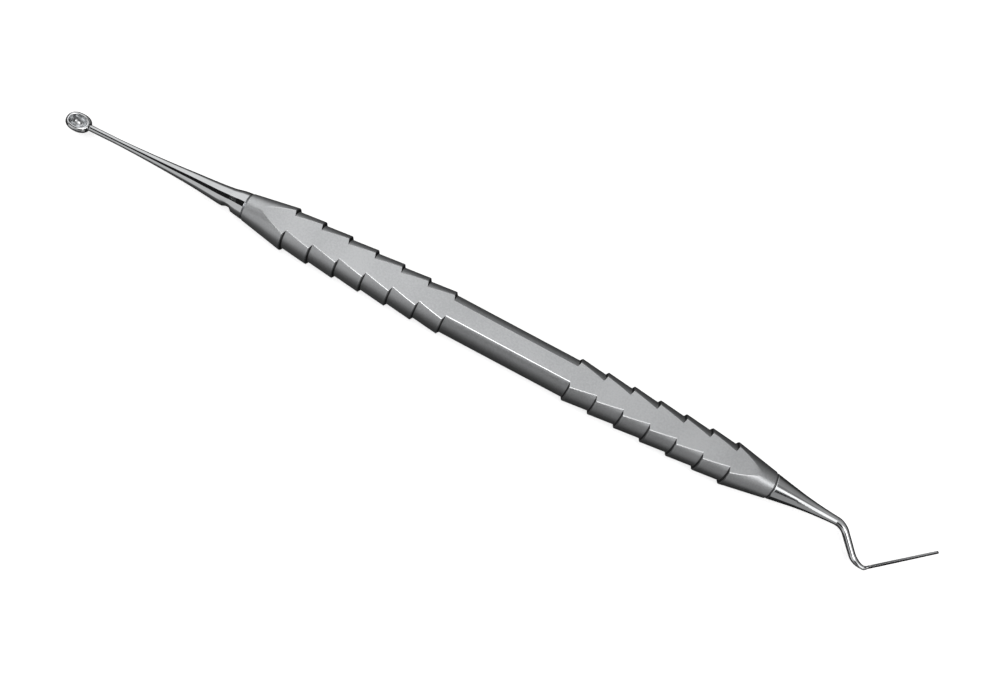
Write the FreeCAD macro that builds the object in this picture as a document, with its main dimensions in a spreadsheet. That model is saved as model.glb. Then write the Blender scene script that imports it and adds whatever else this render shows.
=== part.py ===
import FreeCAD, Part
import os

import Sketcher

# Double-ended periotome: a turned steel handle with saw-tooth grips and two milled flats,
# a small spoon on one end and a thin angled blade on the other. Millimetres and degrees.
# X runs along the handle towards the blade, Z is square to the flats, and the origin is
# the middle of the lower flat, on which the instrument lies.

SIZES = {
    # Handle
    "handle_length": 102.2,
    "crest_diameter": 8.1,
    "root_diameter": 7.04,
    "barrel_diameter": 7.12,
    "end_diameter": 5.12,
    "flat_height": 3.2,
    "first_crest": 12.24,
    "tooth_pitch": 5.1,
    "tooth_count": 6,
    "step_run": 0.34,
    "edge_break": 0.12,
    # Seats of the two working ends
    "tang_diameter": 3.0,
    "tang_length": 14.0,
    "tang_clearance": 0.02,
    "drill_point": 0.9,
    # Spoon end
    "spoon_collar_diameter": 4.84,
    "collar_land": 1.75,
    "collar_land_diameter": 4.48,
    "collar_foot_diameter": 3.64,
    "collar_run": 2.95,
    "neck_run": 3.35,
    "neck_width": 0.24,
    "neck_diameter": 3.5,
    "shoulder_run": 3.9,
    "shoulder_diameter": 3.76,
    "spoon_taper_run": 24.9,
    "spoon_taper_curve": 300.0,
    "spoon_rod_diameter": 1.22,
    "spoon_set": 1.8,
    "spoon_reach": 32.4,
    "bowl_length": 4.8,
    "bowl_width": 3.44,
    "bowl_depth": 1.85,
    "bowl_end_curve": 1.35,
    "bowl_wall": 0.34,
    "bowl_lift": 0.3,
    "lip_break": 0.08,
    # Blade end
    "blade_collar_diameter": 4.8,
    "cone_run": 4.9,
    "cone_foot_diameter": 3.2,
    "blade_taper_run": 12.7,
    "blade_taper_curve": 77.0,
    "bend_diameter": 1.46,
    "bend_radius": 3.0,
    "bend_angle": 52.5,
    "slope_run": 3.65,
    "heel_radius": 3.0,
    "heel_run": 0.5,
    "heel_diameter": 1.2,
    "corner_diameter": 0.84,
    "blade_angle": 38.4,
    "blade_length": 14.2,
    "blade_root_width": 0.78,
    "blade_belly": 3.0,
    "blade_width": 1.7,
    "blade_tip_width": 1.3,
    "blade_thickness": 0.54,
    "blade_tip_thickness": 0.44,
    "blade_bevel": 0.28,
    "tip_round": 0.6,
}

# How far a cutter runs past the surface it cuts, and how deep one solid is set in another.
OVERRUN = 1.0
SINK = 0.3

# The rounded tip of the blade is a row of sections over this much of a quarter turn.
TIP_STEPS = 3
TIP_SWEEP = 75

HALF = "Sizes.handle_length / 2"
LAST_CREST = "(Sizes.first_crest + Sizes.tooth_pitch * Sizes.tooth_count)"
BOWL_CENTRE = "(Sizes.spoon_reach - Sizes.neck_run)"
BOWL_AXIS = "Sizes.bowl_lift - (Sizes.bowl_depth - Sizes.bowl_width / 2)"
BEND_START = f"({HALF} + Sizes.blade_taper_run)"
BEND_END = (
    f"({BEND_START} + Sizes.bend_radius * sin(Sizes.bend_angle))",
    "(-1 * Sizes.bend_radius * (1 - cos(Sizes.bend_angle)))",
)
SLOPE_END = (
    f"({BEND_END[0]} + Sizes.slope_run * cos(Sizes.bend_angle))",
    f"({BEND_END[1]} - Sizes.slope_run * sin(Sizes.bend_angle))",
)
HEEL_END = (
    f"({SLOPE_END[0]} + Sizes.heel_radius * sin(Sizes.bend_angle))",
    f"({SLOPE_END[1]} - Sizes.heel_radius * (1 - cos(Sizes.bend_angle)))",
)
CORNER = (f"({HEEL_END[0]} + Sizes.heel_run)", HEEL_END[1])

doc = FreeCAD.newDocument("periotome")
sheet = doc.addObject("Spreadsheet::Sheet", "Sizes")
for row, (alias, size) in enumerate(SIZES.items(), start=1):
    sheet.set(f"A{row}", alias)
    sheet.set(f"B{row}", str(size))
    sheet.setAlias(f"B{row}", alias)
doc.recompute()


def value_of(formula):
    """Number that a formula of the sheet gives."""
    return float(sheet.evalExpression(formula))


def new_body(label):
    """Body of one piece, raised so that the lower flat of the handle lies at Z = 0."""
    body = doc.addObject("PartDesign::Body", label)
    body.Label = label
    body.setExpression("Placement.Base.z", "Sizes.flat_height")
    return body


def origin_part(body, role):
    """Plane or axis of a body's own origin."""
    return next(item for item in body.Origin.OriginFeatures if item.Role == role)


def new_sketch(body, name, plane, offset=None, turn=None):
    """Sketch on an origin plane; offset holds three formulas, turn an axis and an angle formula."""
    sketch = body.newObject("Sketcher::SketchObject", name)
    sketch.AttachmentSupport = [(origin_part(body, plane), "")]
    sketch.MapMode = "FlatFace"
    set_offset(sketch, offset, turn)
    return sketch


def set_offset(item, offset, turn):
    """Moves and turns an attached object from its plane by formulas."""
    if turn:
        axis, angle = turn
        item.AttachmentOffset = FreeCAD.Placement(FreeCAD.Vector(), FreeCAD.Rotation(axis, value_of(angle)))
        item.setExpression("AttachmentOffset.Rotation.Angle", f"({angle}) * 1 deg")
    for letter, formula in zip("xyz", offset or ()):
        item.setExpression(f"AttachmentOffset.Base.{letter}", formula)


def arc_between(start, end, radius):
    """Short arc between two points; a positive radius keeps its centre on the left of the way."""
    if radius < 0:
        start, end = end, start
    middle = (start + end) * 0.5
    chord = end - start
    left = FreeCAD.Vector(-chord.y, chord.x, 0).normalize()
    centre = middle + left * (radius * radius - chord.Length * chord.Length / 4) ** 0.5
    crown = centre + (middle - centre).normalize() * abs(radius)
    return Part.Arc(start, crown, end)


def tie(sketch, kind, formula, *ends):
    """Adds a dimension that follows a formula."""
    index = sketch.addConstraint(Sketcher.Constraint(kind, *ends, value_of(formula)))
    if formula != "0":
        sketch.setExpression(f"Constraints[{index}]", formula)


def draw(sketch, corners, arcs=None, closed=True):
    """Draws lines and arcs through corners given as pairs of formulas.

    arcs maps the number of an edge to the formula of its radius, which is negative
    where the centre lies on the right of the way.
    """
    arcs = arcs or {}
    points = [FreeCAD.Vector(value_of(across), value_of(up), 0) for across, up in corners]
    count = len(corners) if closed else len(corners) - 1
    ends = []
    for number in range(count):
        start = points[number]
        end = points[(number + 1) % len(points)]
        if number not in arcs:
            edge = sketch.addGeometry(Part.LineSegment(start, end), False)
            ends.append((edge, 1, 2))
            continue
        radius = value_of(arcs[number])
        edge = sketch.addGeometry(arc_between(start, end, radius), False)
        ends.append((edge, 1, 2) if radius > 0 else (edge, 2, 1))
    for number, (edge, first_end, last_end) in enumerate(ends):
        across, up = corners[number]
        tie(sketch, "DistanceX", across, -1, 1, edge, first_end)
        tie(sketch, "DistanceY", up, -1, 1, edge, first_end)
        if closed or number + 1 < count:
            follower, its_start, _ = ends[(number + 1) % len(ends)]
            sketch.addConstraint(Sketcher.Constraint("Coincident", edge, last_end, follower, its_start))
        else:
            across, up = corners[-1]
            tie(sketch, "DistanceX", across, -1, 1, edge, last_end)
            tie(sketch, "DistanceY", up, -1, 1, edge, last_end)
        if number in arcs:
            tie(sketch, "Radius", f"abs({arcs[number]})", edge)
    return sketch


def turned(body, name, sketch, cut=False):
    """Solid or groove turned round the sketch's own horizontal axis."""
    kind = "PartDesign::Groove" if cut else "PartDesign::Revolution"
    feature = body.newObject(kind, name)
    feature.Profile = sketch
    feature.ReferenceAxis = (sketch, ["H_Axis"])
    feature.Angle = 360
    return feature


def handle_core(body):
    """Barrel, the ground of both grips and the two end cones, turned in one."""
    crest = "Sizes.crest_diameter / 2"
    root = "Sizes.root_diameter / 2"
    barrel = "Sizes.barrel_diameter / 2"
    end = "Sizes.end_diameter / 2"
    right = [
        ("Sizes.first_crest", barrel),
        ("Sizes.first_crest", root),
        (f"{LAST_CREST} - Sizes.step_run", root),
        (LAST_CREST, crest),
        (f"{HALF} - Sizes.edge_break", end),
        (HALF, f"{end} - Sizes.edge_break"),
        (HALF, "0"),
    ]
    left = [(f"-({across})", up) for across, up in reversed(right)]
    sketch = draw(new_sketch(body, "core_profile", "XZ_Plane"), left + right)
    return turned(body, "core", sketch)


def grip(body, side):
    """One tooth ring on one side of the barrel and its row towards that end."""
    name = "right" if side > 0 else "left"
    sign = "" if side > 0 else "-1 * "
    foot = f"{sign}(Sizes.first_crest - Sizes.step_run)"
    tail = f"{sign}(Sizes.first_crest + Sizes.tooth_pitch - Sizes.step_run)"
    root = "Sizes.root_diameter / 2"
    corners = [
        (foot, root),
        (f"{sign}Sizes.first_crest", "Sizes.crest_diameter / 2"),
        (tail, root),
        (tail, f"{root} - {SINK}"),
        (foot, f"{root} - {SINK}"),
    ]
    ring = turned(body, f"{name}_tooth", draw(new_sketch(body, f"{name}_tooth_profile", "XZ_Plane"), corners))
    doc.recompute()
    row = body.newObject("PartDesign::LinearPattern", f"{name}_teeth")
    row.Originals = [ring]
    row.Direction = (origin_part(body, "X_Axis"), [""])
    row.Reversed = side < 0
    row.setExpression("Length", "Sizes.tooth_pitch * (Sizes.tooth_count - 1)")
    row.setExpression("Occurrences", "Sizes.tooth_count")
    body.Tip = row
    doc.recompute()
    return row


def mill_flats(body):
    """Two flats, above and below, along the whole handle; they run out on the end cones."""
    side = f"(Sizes.crest_diameter / 2 + {OVERRUN})"
    sketch = new_sketch(body, "flat_profile", "YZ_Plane")
    for sign in ("", "-1 * "):
        low = f"{sign}Sizes.flat_height"
        high = f"{sign}{side}"
        draw(sketch, [(f"-{side}", low), (side, low), (side, high), (f"-{side}", high)])
    pocket = body.newObject("PartDesign::Pocket", "flats")
    pocket.Profile = sketch
    pocket.Midplane = True
    pocket.setExpression("Length", f"Sizes.handle_length + {OVERRUN}")
    return pocket


def drill_seat(body, side):
    """Blind bore for a tang, with the cone that a drill leaves."""
    name = "right" if side > 0 else "left"
    sign = "" if side > 0 else "-1 * "
    bore = "(Sizes.tang_diameter / 2 + Sizes.tang_clearance)"
    depth = f"({HALF} - Sizes.tang_length - Sizes.tang_clearance)"
    corners = [
        (f"{sign}({HALF} + {OVERRUN})", "0"),
        (f"{sign}({HALF} + {OVERRUN})", bore),
        (f"{sign}{depth}", bore),
        (f"{sign}({depth} - Sizes.drill_point)", "0"),
    ]
    return turned(body, f"{name}_bore", draw(new_sketch(body, f"{name}_bore_profile", "XZ_Plane"), corners), cut=True)


def make_handle():
    """Handle: core, two grips, flats and bores."""
    body = new_body("handle")
    handle_core(body)
    doc.recompute()
    for side in (1, -1):
        last = grip(body, side)
    cuts = [mill_flats(body)]
    cuts += [drill_seat(body, side) for side in (1, -1)]
    doc.recompute()
    volumes = [feature.Shape.Volume for feature in [last] + cuts]
    if any(after >= before for before, after in zip(volumes, volumes[1:])):
        raise ValueError(f"a cut of the handle took nothing away: {volumes}")
    return body


def tang_corners(sign):
    """Outline of a tang from its buried end to the handle's end face."""
    tang = "Sizes.tang_diameter / 2"
    buried = f"({HALF} - Sizes.tang_length)"
    return [
        (f"{sign}{buried}", "0"),
        (f"{sign}{buried}", f"{tang} - Sizes.edge_break"),
        (f"{sign}({buried} + Sizes.edge_break)", tang),
        (f"{sign}{HALF}", tang),
    ]


def spoon_collar(body):
    """Tang and flared collar up to the bottom of the neck groove."""
    corners = tang_corners("-1 * ") + [
        (f"-({HALF})", "Sizes.spoon_collar_diameter / 2"),
        (f"-({HALF} + Sizes.collar_land)", "Sizes.collar_land_diameter / 2"),
        (f"-({HALF} + Sizes.collar_run)", "Sizes.collar_foot_diameter / 2"),
        (f"-({HALF} + Sizes.neck_run - Sizes.neck_width / 2)", "Sizes.neck_diameter / 2"),
        (f"-({HALF} + Sizes.neck_run)", "Sizes.neck_diameter / 2"),
        (f"-({HALF} + Sizes.neck_run)", "0"),
    ]
    return turned(body, "collar", draw(new_sketch(body, "collar_profile", "XY_Plane"), corners))


def spoon_frame():
    """Offset and turn of everything beyond the neck, which is set a little off the handle's line."""
    offset = (f"-({HALF} + Sizes.neck_run)", "0", "0")
    return offset, (FreeCAD.Vector(0, 0, 1), "Sizes.spoon_set")


def spoon_rod(body):
    """Shoulder and long hollow taper down to the thin rod, whose round end is set in the bowl's wall."""
    neck = "Sizes.neck_diameter / 2"
    rod = "Sizes.spoon_rod_diameter / 2"
    end = f"({BOWL_CENTRE} - Sizes.bowl_length / 2 + Sizes.bowl_wall)"
    corners = [
        (f"{SINK}", "0"),
        (f"{SINK}", neck),
        ("-Sizes.neck_width / 2", neck),
        ("-(Sizes.shoulder_run - Sizes.neck_run)", "Sizes.shoulder_diameter / 2"),
        ("-(Sizes.spoon_taper_run - Sizes.neck_run)", rod),
        (f"-({end} - {rod})", rod),
        (f"-{end}", "0"),
    ]
    arcs = {3: "-Sizes.spoon_taper_curve", 5: rod}
    sketch = new_sketch(body, "rod_profile", "XY_Plane", *spoon_frame())
    return turned(body, "rod", draw(sketch, corners, arcs))


def bowl_frame(rise):
    """Offset and turn to the middle of the bowl, at a height over the handle's middle plane."""
    offset = (
        f"-({HALF} + Sizes.neck_run + {BOWL_CENTRE} * cos(Sizes.spoon_set))",
        f"-({BOWL_CENTRE} * sin(Sizes.spoon_set))",
        rise,
    )
    return offset, (FreeCAD.Vector(0, 0, 1), "Sizes.spoon_set")


def bowl_part(body, name, wall, cut=False):
    """Egg-like solid turned round the bowl's long axis, from a tight arc at each end and a flat one between."""
    long_half = f"(Sizes.bowl_length / 2 - {wall})"
    wide_half = f"(Sizes.bowl_width / 2 - {wall})"
    tight = f"(Sizes.bowl_end_curve - {wall})"
    reach = f"({long_half} - {tight})"
    flat = f"(({reach} ^ 2 + {wide_half} ^ 2 - {tight} ^ 2) / (2 * ({wide_half} - {tight})))"
    join = f"({reach} * {flat} / ({flat} - {tight}))"
    join_up = f"(({flat} - {wide_half}) * {tight} / ({flat} - {tight}))"
    corners = [(f"-1 * {long_half}", "0"), (long_half, "0"), (join, join_up), (f"-1 * {join}", join_up)]
    sketch = new_sketch(body, f"{name}_profile", "XY_Plane", *bowl_frame(BOWL_AXIS))
    return turned(body, name, draw(sketch, corners, {1: tight, 2: flat, 3: tight}), cut)


def open_bowl(body):
    """Cuts the turned solid off level at the rim."""
    size = "Sizes.bowl_length"
    sketch = new_sketch(body, "mouth_profile", "XY_Plane", *bowl_frame("Sizes.bowl_lift"))
    draw(sketch, [(f"-{size}", f"-{size}"), (size, f"-{size}"), (size, size), (f"-{size}", size)])
    mouth = body.newObject("PartDesign::Pocket", "mouth")
    mouth.Profile = sketch
    mouth.Reversed = True
    mouth.setExpression("Length", "Sizes.bowl_width")
    return mouth


def break_lip(body, base):
    """Takes the sharpness off the two edges of the bowl's rim."""
    level = value_of("Sizes.bowl_lift")
    lip = []
    for number, edge in enumerate(base.Shape.Edges, start=1):
        first, last = edge.ParameterRange
        heights = [edge.valueAt(first + (last - first) * share).z for share in (0, 0.3, 0.7, 1)]
        if all(abs(height - level) < 1e-4 for height in heights):
            lip.append(f"Edge{number}")
    chamfer = body.newObject("PartDesign::Chamfer", "lip_chamfer")
    chamfer.Base = (base, lip)
    chamfer.setExpression("Size", "Sizes.lip_break")
    return chamfer


def make_spoon_end():
    """Spoon end: hollow bowl, tapered rod, collar and tang."""
    body = new_body("spoon_end")
    outside = bowl_part(body, "bowl_outside", "0")
    doc.recompute()
    mouth = open_bowl(body)
    doc.recompute()
    hollow = bowl_part(body, "bowl_inside", "Sizes.bowl_wall", cut=True)
    doc.recompute()
    volumes = [feature.Shape.Volume for feature in (outside, mouth, hollow)]
    if not volumes[0] > volumes[1] > volumes[2]:
        raise ValueError(f"a cut of the bowl took nothing away: {volumes}")
    break_lip(body, hollow)
    doc.recompute()
    spoon_rod(body)
    doc.recompute()
    spoon_collar(body)
    return body


def blade_shank(body):
    """Tang, cone and hollow taper up to the bend."""
    corners = tang_corners("") + [
        (HALF, "Sizes.blade_collar_diameter / 2 - Sizes.edge_break"),
        (f"{HALF} + Sizes.edge_break", "Sizes.blade_collar_diameter / 2"),
        (f"{HALF} + Sizes.cone_run", "Sizes.cone_foot_diameter / 2"),
        (BEND_START, "Sizes.bend_diameter / 2"),
        (BEND_START, "0"),
    ]
    arcs = {6: "Sizes.blade_taper_curve"}
    return turned(body, "shank", draw(new_sketch(body, "shank_profile", "XY_Plane"), corners, arcs))


def elbow(body, name, centre, side, diameter, radius):
    """Round bend in the XY plane, turned from a circle square to X about an upright axis at its centre.

    side is 1 where the circle lies on the Y side of the axis and -1 where it lies on the other.
    """
    sketch = new_sketch(body, f"{name}_profile", "YZ_Plane", (centre[1], "0", centre[0]))
    middle = FreeCAD.Vector(side * value_of(radius), 0, 0)
    ring = sketch.addGeometry(Part.Circle(middle, FreeCAD.Vector(0, 0, 1), value_of(diameter) / 2), False)
    tie(sketch, "DistanceX", f"{side} * {radius}", -1, 1, ring, 3)
    tie(sketch, "DistanceY", "0", -1, 1, ring, 3)
    tie(sketch, "Diameter", diameter, ring)
    bend = body.newObject("PartDesign::Revolution", name)
    bend.Profile = sketch
    bend.ReferenceAxis = (sketch, ["V_Axis"])
    bend.Reversed = True
    bend.setExpression("Angle", "Sizes.bend_angle")
    return bend


def tapered_rod(body, name, start, turn, run, first, last):
    """Straight rod in the XY plane that tapers from one diameter to the next."""
    corners = [("0", "0"), ("0", f"{first} / 2"), (run, f"{last} / 2"), (run, "0")]
    frame = ((*start, "0"), (FreeCAD.Vector(0, 0, 1), turn))
    return turned(body, name, draw(new_sketch(body, f"{name}_profile", "XY_Plane", *frame), corners))


def double_bend(body):
    """Round rod that bends away from the handle's line, slopes down and bends back at the heel."""
    first_centre = (BEND_START, "-1 * Sizes.bend_radius")
    heel_centre = (HEEL_END[0], f"{HEEL_END[1]} + Sizes.heel_radius")
    parts = [
        (elbow, "bend", first_centre, 1, "Sizes.bend_diameter", "Sizes.bend_radius"),
        (tapered_rod, "slope", BEND_END, "-1 * Sizes.bend_angle", "Sizes.slope_run", "Sizes.bend_diameter",
         "Sizes.heel_diameter"),
        (elbow, "heel", heel_centre, -1, "Sizes.heel_diameter", "Sizes.heel_radius"),
        (tapered_rod, "heel_end", HEEL_END, "0", "Sizes.heel_run", "Sizes.heel_diameter",
         "Sizes.corner_diameter"),
    ]
    for make, *facts in parts:
        make(body, *facts)
        doc.recompute()


def corner_ball(body):
    """Round corner where the rod turns into the blade."""
    ball = body.newObject("PartDesign::AdditiveSphere", "corner")
    ball.AttachmentSupport = [(origin_part(body, "XY_Plane"), "")]
    ball.MapMode = "FlatFace"
    ball.setExpression("Radius", "Sizes.corner_diameter / 2")
    set_offset(ball, (*CORNER, "0"), None)
    return ball


def blade_section(body, name, along, width, thickness):
    """Six-sided section of the blade, bevelled to an edge on both sides."""
    offset = (
        f"{CORNER[1]} + ({along}) * sin(Sizes.blade_angle)",
        "0",
        f"{CORNER[0]} + ({along}) * cos(Sizes.blade_angle)",
    )
    sketch = new_sketch(body, name, "YZ_Plane", offset, (FreeCAD.Vector(0, 1, 0), "Sizes.blade_angle"))
    edge = f"({width}) / 2"
    flat = f"(({width}) / 2 - min(Sizes.blade_bevel; ({width}) / 3))"
    half = f"({thickness}) / 2"
    corners = [
        ("0", edge),
        (f"-{half}", flat),
        (f"-{half}", f"-{flat}"),
        ("0", f"-{edge}"),
        (half, f"-{flat}"),
        (half, flat),
    ]
    return draw(sketch, corners)


def blade(body):
    """Thin blade: from the heel to its belly, then a long taper to a rounded tip."""
    tip = "Sizes.blade_length - Sizes.tip_round"
    sections = [
        blade_section(body, "blade_root", "0", "Sizes.blade_root_width", "Sizes.blade_thickness"),
        blade_section(body, "blade_belly", "Sizes.blade_belly", "Sizes.blade_width", "Sizes.blade_thickness"),
    ]
    for step in range(TIP_STEPS + 1):
        angle = TIP_SWEEP * step / TIP_STEPS
        along = f"{tip} + Sizes.tip_round * sin({angle})"
        width = f"Sizes.blade_tip_width - 2 * Sizes.tip_round * (1 - cos({angle}))"
        sections.append(blade_section(body, f"blade_tip_{step}", along, width, "Sizes.blade_tip_thickness"))
    doc.recompute()
    loft = body.newObject("PartDesign::AdditiveLoft", "blade")
    loft.Profile = sections[0]
    loft.Sections = sections[1:]
    loft.Ruled = True
    return loft


def make_blade_end():
    """Blade end: tang, tapered shank, double bend, heel and blade."""
    body = new_body("blade_end")
    blade_shank(body)
    doc.recompute()
    double_bend(body)
    corner_ball(body)
    doc.recompute()
    blade(body)
    return body


def check(bodies):
    """Stops if a feature failed or a piece isn't one sound solid."""
    for item in doc.Objects:
        if {"Invalid", "Error"} & set(item.State):
            raise ValueError(f"{item.Name} failed: {item.State}")
    for body in bodies:
        shape = body.Shape
        if shape.isNull() or not shape.isValid() or len(shape.Solids) != 1:
            raise ValueError(f"{body.Label} is not one sound solid")


pieces = [make_handle(), make_spoon_end(), make_blade_end()]
doc.recompute()
check(pieces)
os.makedirs("parts", exist_ok=True)
for piece in pieces:
    piece.Shape.exportStep(f"parts/{piece.Label}.step")
    print(piece.Label, round(piece.Shape.Volume, 3), "cubic mm")
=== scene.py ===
"""Looks of a double-ended periotome: satin handle, polished spoon end and polished blade end.

The three pieces are surfaces worked out in millimetres and stored in metres, in the frame of
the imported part: X runs along the handle towards the blade, Z is square to the flats.
"""

import logging
from collections.abc import Sequence
from dataclasses import dataclass
from enum import Enum

import bpy
import numpy as np
from mathutils import Matrix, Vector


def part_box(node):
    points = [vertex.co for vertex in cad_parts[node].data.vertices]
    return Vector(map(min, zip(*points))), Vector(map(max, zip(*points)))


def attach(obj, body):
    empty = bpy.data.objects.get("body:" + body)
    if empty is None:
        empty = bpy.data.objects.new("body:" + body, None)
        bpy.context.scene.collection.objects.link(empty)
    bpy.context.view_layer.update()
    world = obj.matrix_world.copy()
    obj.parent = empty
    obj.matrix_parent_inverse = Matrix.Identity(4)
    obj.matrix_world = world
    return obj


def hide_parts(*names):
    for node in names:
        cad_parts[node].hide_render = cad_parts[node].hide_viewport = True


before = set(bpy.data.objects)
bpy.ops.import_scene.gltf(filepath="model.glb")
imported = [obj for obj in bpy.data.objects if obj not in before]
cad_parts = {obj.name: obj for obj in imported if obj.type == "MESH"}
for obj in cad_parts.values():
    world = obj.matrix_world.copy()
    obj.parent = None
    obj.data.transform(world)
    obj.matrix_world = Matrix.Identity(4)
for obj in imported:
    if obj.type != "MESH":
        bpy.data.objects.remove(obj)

log = logging.getLogger("periotome")

MM = 0.001
TURN = 2 * np.pi
FULL_TURN = 360.0
DEGREES = 180 / np.pi
TINY = 1e-6
LEAST_TURN = 1e-4
WEAR_AND_PAINTED_LIGHT = "wear_and_painted_light"


class Slot(Enum):
    """Material slots of the record."""

    SATIN = "satin_steel"
    POLISHED = "polished_steel"


class Wire:
    """A shader socket that Python's operators join to further Math nodes."""

    def __init__(self, net: "Net", socket: bpy.types.NodeSocket) -> None:
        """Keeps the socket and the net that it belongs to."""
        self.net = net
        self.socket = socket

    def _math(self, operation: str, first: "Wire | float", second: "Wire | float") -> "Wire":
        """Adds a Math node for two values."""
        return self.net.add("ShaderNodeMath", {"operation": operation}, {0: first, 1: second})

    def __add__(self, other: "Wire | float") -> "Wire":
        """Sum."""
        return self._math("ADD", self, other)

    def __sub__(self, other: "Wire | float") -> "Wire":
        """Difference."""
        return self._math("SUBTRACT", self, other)

    def __rsub__(self, other: float) -> "Wire":
        """Difference from a number."""
        return self._math("SUBTRACT", other, self)

    def __mul__(self, other: "Wire | float") -> "Wire":
        """Product."""
        return self._math("MULTIPLY", self, other)

    def __abs__(self) -> "Wire":
        """Size without its sign."""
        return self._math("ABSOLUTE", self, 0.0)

    def at_least(self, floor: "Wire | float") -> "Wire":
        """The larger of two values."""
        return self._math("MAXIMUM", self, floor)

    def arc_sine(self) -> "Wire":
        """Angle whose sine this is, in radians."""
        return self._math("ARCSINE", self, 0.0)

    def turned_from(self, other: "Wire") -> "Wire":
        """Angle of the point (other, self) about the origin, in radians."""
        return self._math("ARCTAN2", self, other)


@dataclass
class Net:
    """A node tree and the one method that adds nodes to it."""

    tree: bpy.types.NodeTree

    def add(
        self, kind: str, settings: dict | None = None, inputs: dict | None = None, output: int | str = 0
    ) -> Wire | None:
        """Adds a node.

        Args:
            kind: Blender's name of the node's type.
            settings: properties of the node, set before its sockets; "stops" fills a colour ramp.
            inputs: sockets by name or number, each with a value or a wire.
            output: name or number of the output to hand back.

        Returns:
            The chosen output, or nothing from a node that has none.
        """
        node = self.tree.nodes.new(kind)
        for name, value in (settings or {}).items():
            if name == "stops":
                self._fill(node.color_ramp, value)
            else:
                setattr(node, name, value)
        for name, value in (inputs or {}).items():
            if isinstance(value, Wire):
                self.tree.links.new(value.socket, node.inputs[name])
            else:
                node.inputs[name].default_value = value
        return Wire(self, node.outputs[output]) if len(node.outputs) else None

    @staticmethod
    def _fill(ramp: bpy.types.ColorRamp, stops: list[tuple[float, float]]) -> None:
        """Sets a ramp's stops, each a place and a grey level."""
        ramp.interpolation = "EASE"
        while len(ramp.elements) > 1:
            ramp.elements.remove(ramp.elements[-1])
        for index, (place, level) in enumerate(stops):
            stop = ramp.elements[0] if index == 0 else ramp.elements.new(place)
            stop.position = place
            stop.color = (level, level, level, 1.0)

    def smooth_step(self, value: Wire, low: float, high: float) -> Wire:
        """Soft step from 0 at low to 1 at high."""
        return self.add(
            "ShaderNodeMapRange",
            {"interpolation_type": "SMOOTHSTEP"},
            {"Value": value, "From Min": low, "From Max": high},
        )

    def blend(self, share: Wire | float, first: Wire | tuple, second: Wire | tuple) -> Wire:
        """Colour between two colours, in Blender's RGBA order."""
        return self.add(
            "ShaderNodeMix", {"data_type": "RGBA"}, {0: share, 6: first, 7: second}, output=2
        )


@dataclass(frozen=True)
class Steel:
    """A steel surface seen close: tone, gloss, the fine marks of its last working step, its wear, and
    painted highlight and painted shade.

    Its colour goes between dark and pale with the noise, to a painted tone where the attribute is 1 (a
    painted highlight on the handle's crests and edges, painted shade inside the spoon), and to painted shade
    where it is -1.
    """

    slot: Slot
    pale: tuple[float, float, float]
    dark: tuple[float, float, float]
    painted_light_tone: tuple[float, float, float]
    painted_shade_tone: tuple[float, float, float]
    roughness: float
    roughness_swing: float
    rubbed_roughness: float
    grain_scale: float
    grain_stretch: tuple[float, float, float]
    cloud_scale: float
    bump_height: float
    grain_detail: float = 4.0
    grain_roughness: float = 0.65
    cloud_detail: float = 2.0
    grain_share: float = 0.6
    tone_ends: tuple[float, float] = (0.36, 0.64)
    noise_middle: float = 0.5

    def material(self) -> bpy.types.Material:
        """Builds the material.

        Returns:
            A metal whose grain noise moves colour, roughness and bump, over a broad cloud of tone,
            with a second gloss and a painted tone where the attribute is above 0, a painted highlight on
            the handle's edges and painted shade inside the spoon, and painted shade where it is below 0.
        """
        made = bpy.data.materials.new(self.slot.value)
        made.use_nodes = True
        made.node_tree.nodes.clear()
        net = Net(made.node_tree)
        place = net.add("ShaderNodeTexCoord", output="Object")
        along = net.add("ShaderNodeMapping", None, {"Vector": place, "Scale": self.grain_stretch})
        grain = net.add(
            "ShaderNodeTexNoise",
            None,
            {
                "Vector": along,
                "Scale": self.grain_scale,
                "Detail": self.grain_detail,
                "Roughness": self.grain_roughness,
            },
        )
        cloud = net.add(
            "ShaderNodeTexNoise",
            None,
            {"Vector": place, "Scale": self.cloud_scale, "Detail": self.cloud_detail},
        )
        tone = grain * self.grain_share + cloud * (1 - self.grain_share)
        wear_and_painted_light = net.add("ShaderNodeAttribute", {"attribute_name": WEAR_AND_PAINTED_LIGHT}, output="Fac")
        # Above 0 the attribute blends in a painted tone and a second roughness; below 0 it blends in painted
        # shade.
        rub_and_painted_light_share, painted_shade_share = wear_and_painted_light.at_least(0.0), (0.0 - wear_and_painted_light).at_least(0.0)
        light = net.smooth_step(tone, *self.tone_ends)
        ground = net.blend(light, (*self.dark, 1.0), (*self.pale, 1.0))
        rubbed_and_painted = net.blend(rub_and_painted_light_share, ground, (*self.painted_light_tone, 1.0))
        matt = (grain - self.noise_middle) * self.roughness_swing + self.roughness
        bump = net.add(
            "ShaderNodeBump", None, {"Height": grain, "Distance": self.bump_height, "Strength": 1.0}
        )
        surface = net.add(
            "ShaderNodeBsdfPrincipled",
            None,
            {
                "Base Color": net.blend(painted_shade_share, rubbed_and_painted, (*self.painted_shade_tone, 1.0)),
                "Metallic": 1.0,
                "Roughness": matt + (self.rubbed_roughness - matt) * rub_and_painted_light_share,
                "Normal": bump,
            },
        )
        net.add("ShaderNodeOutputMaterial", None, {"Surface": surface})
        return made


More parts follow.
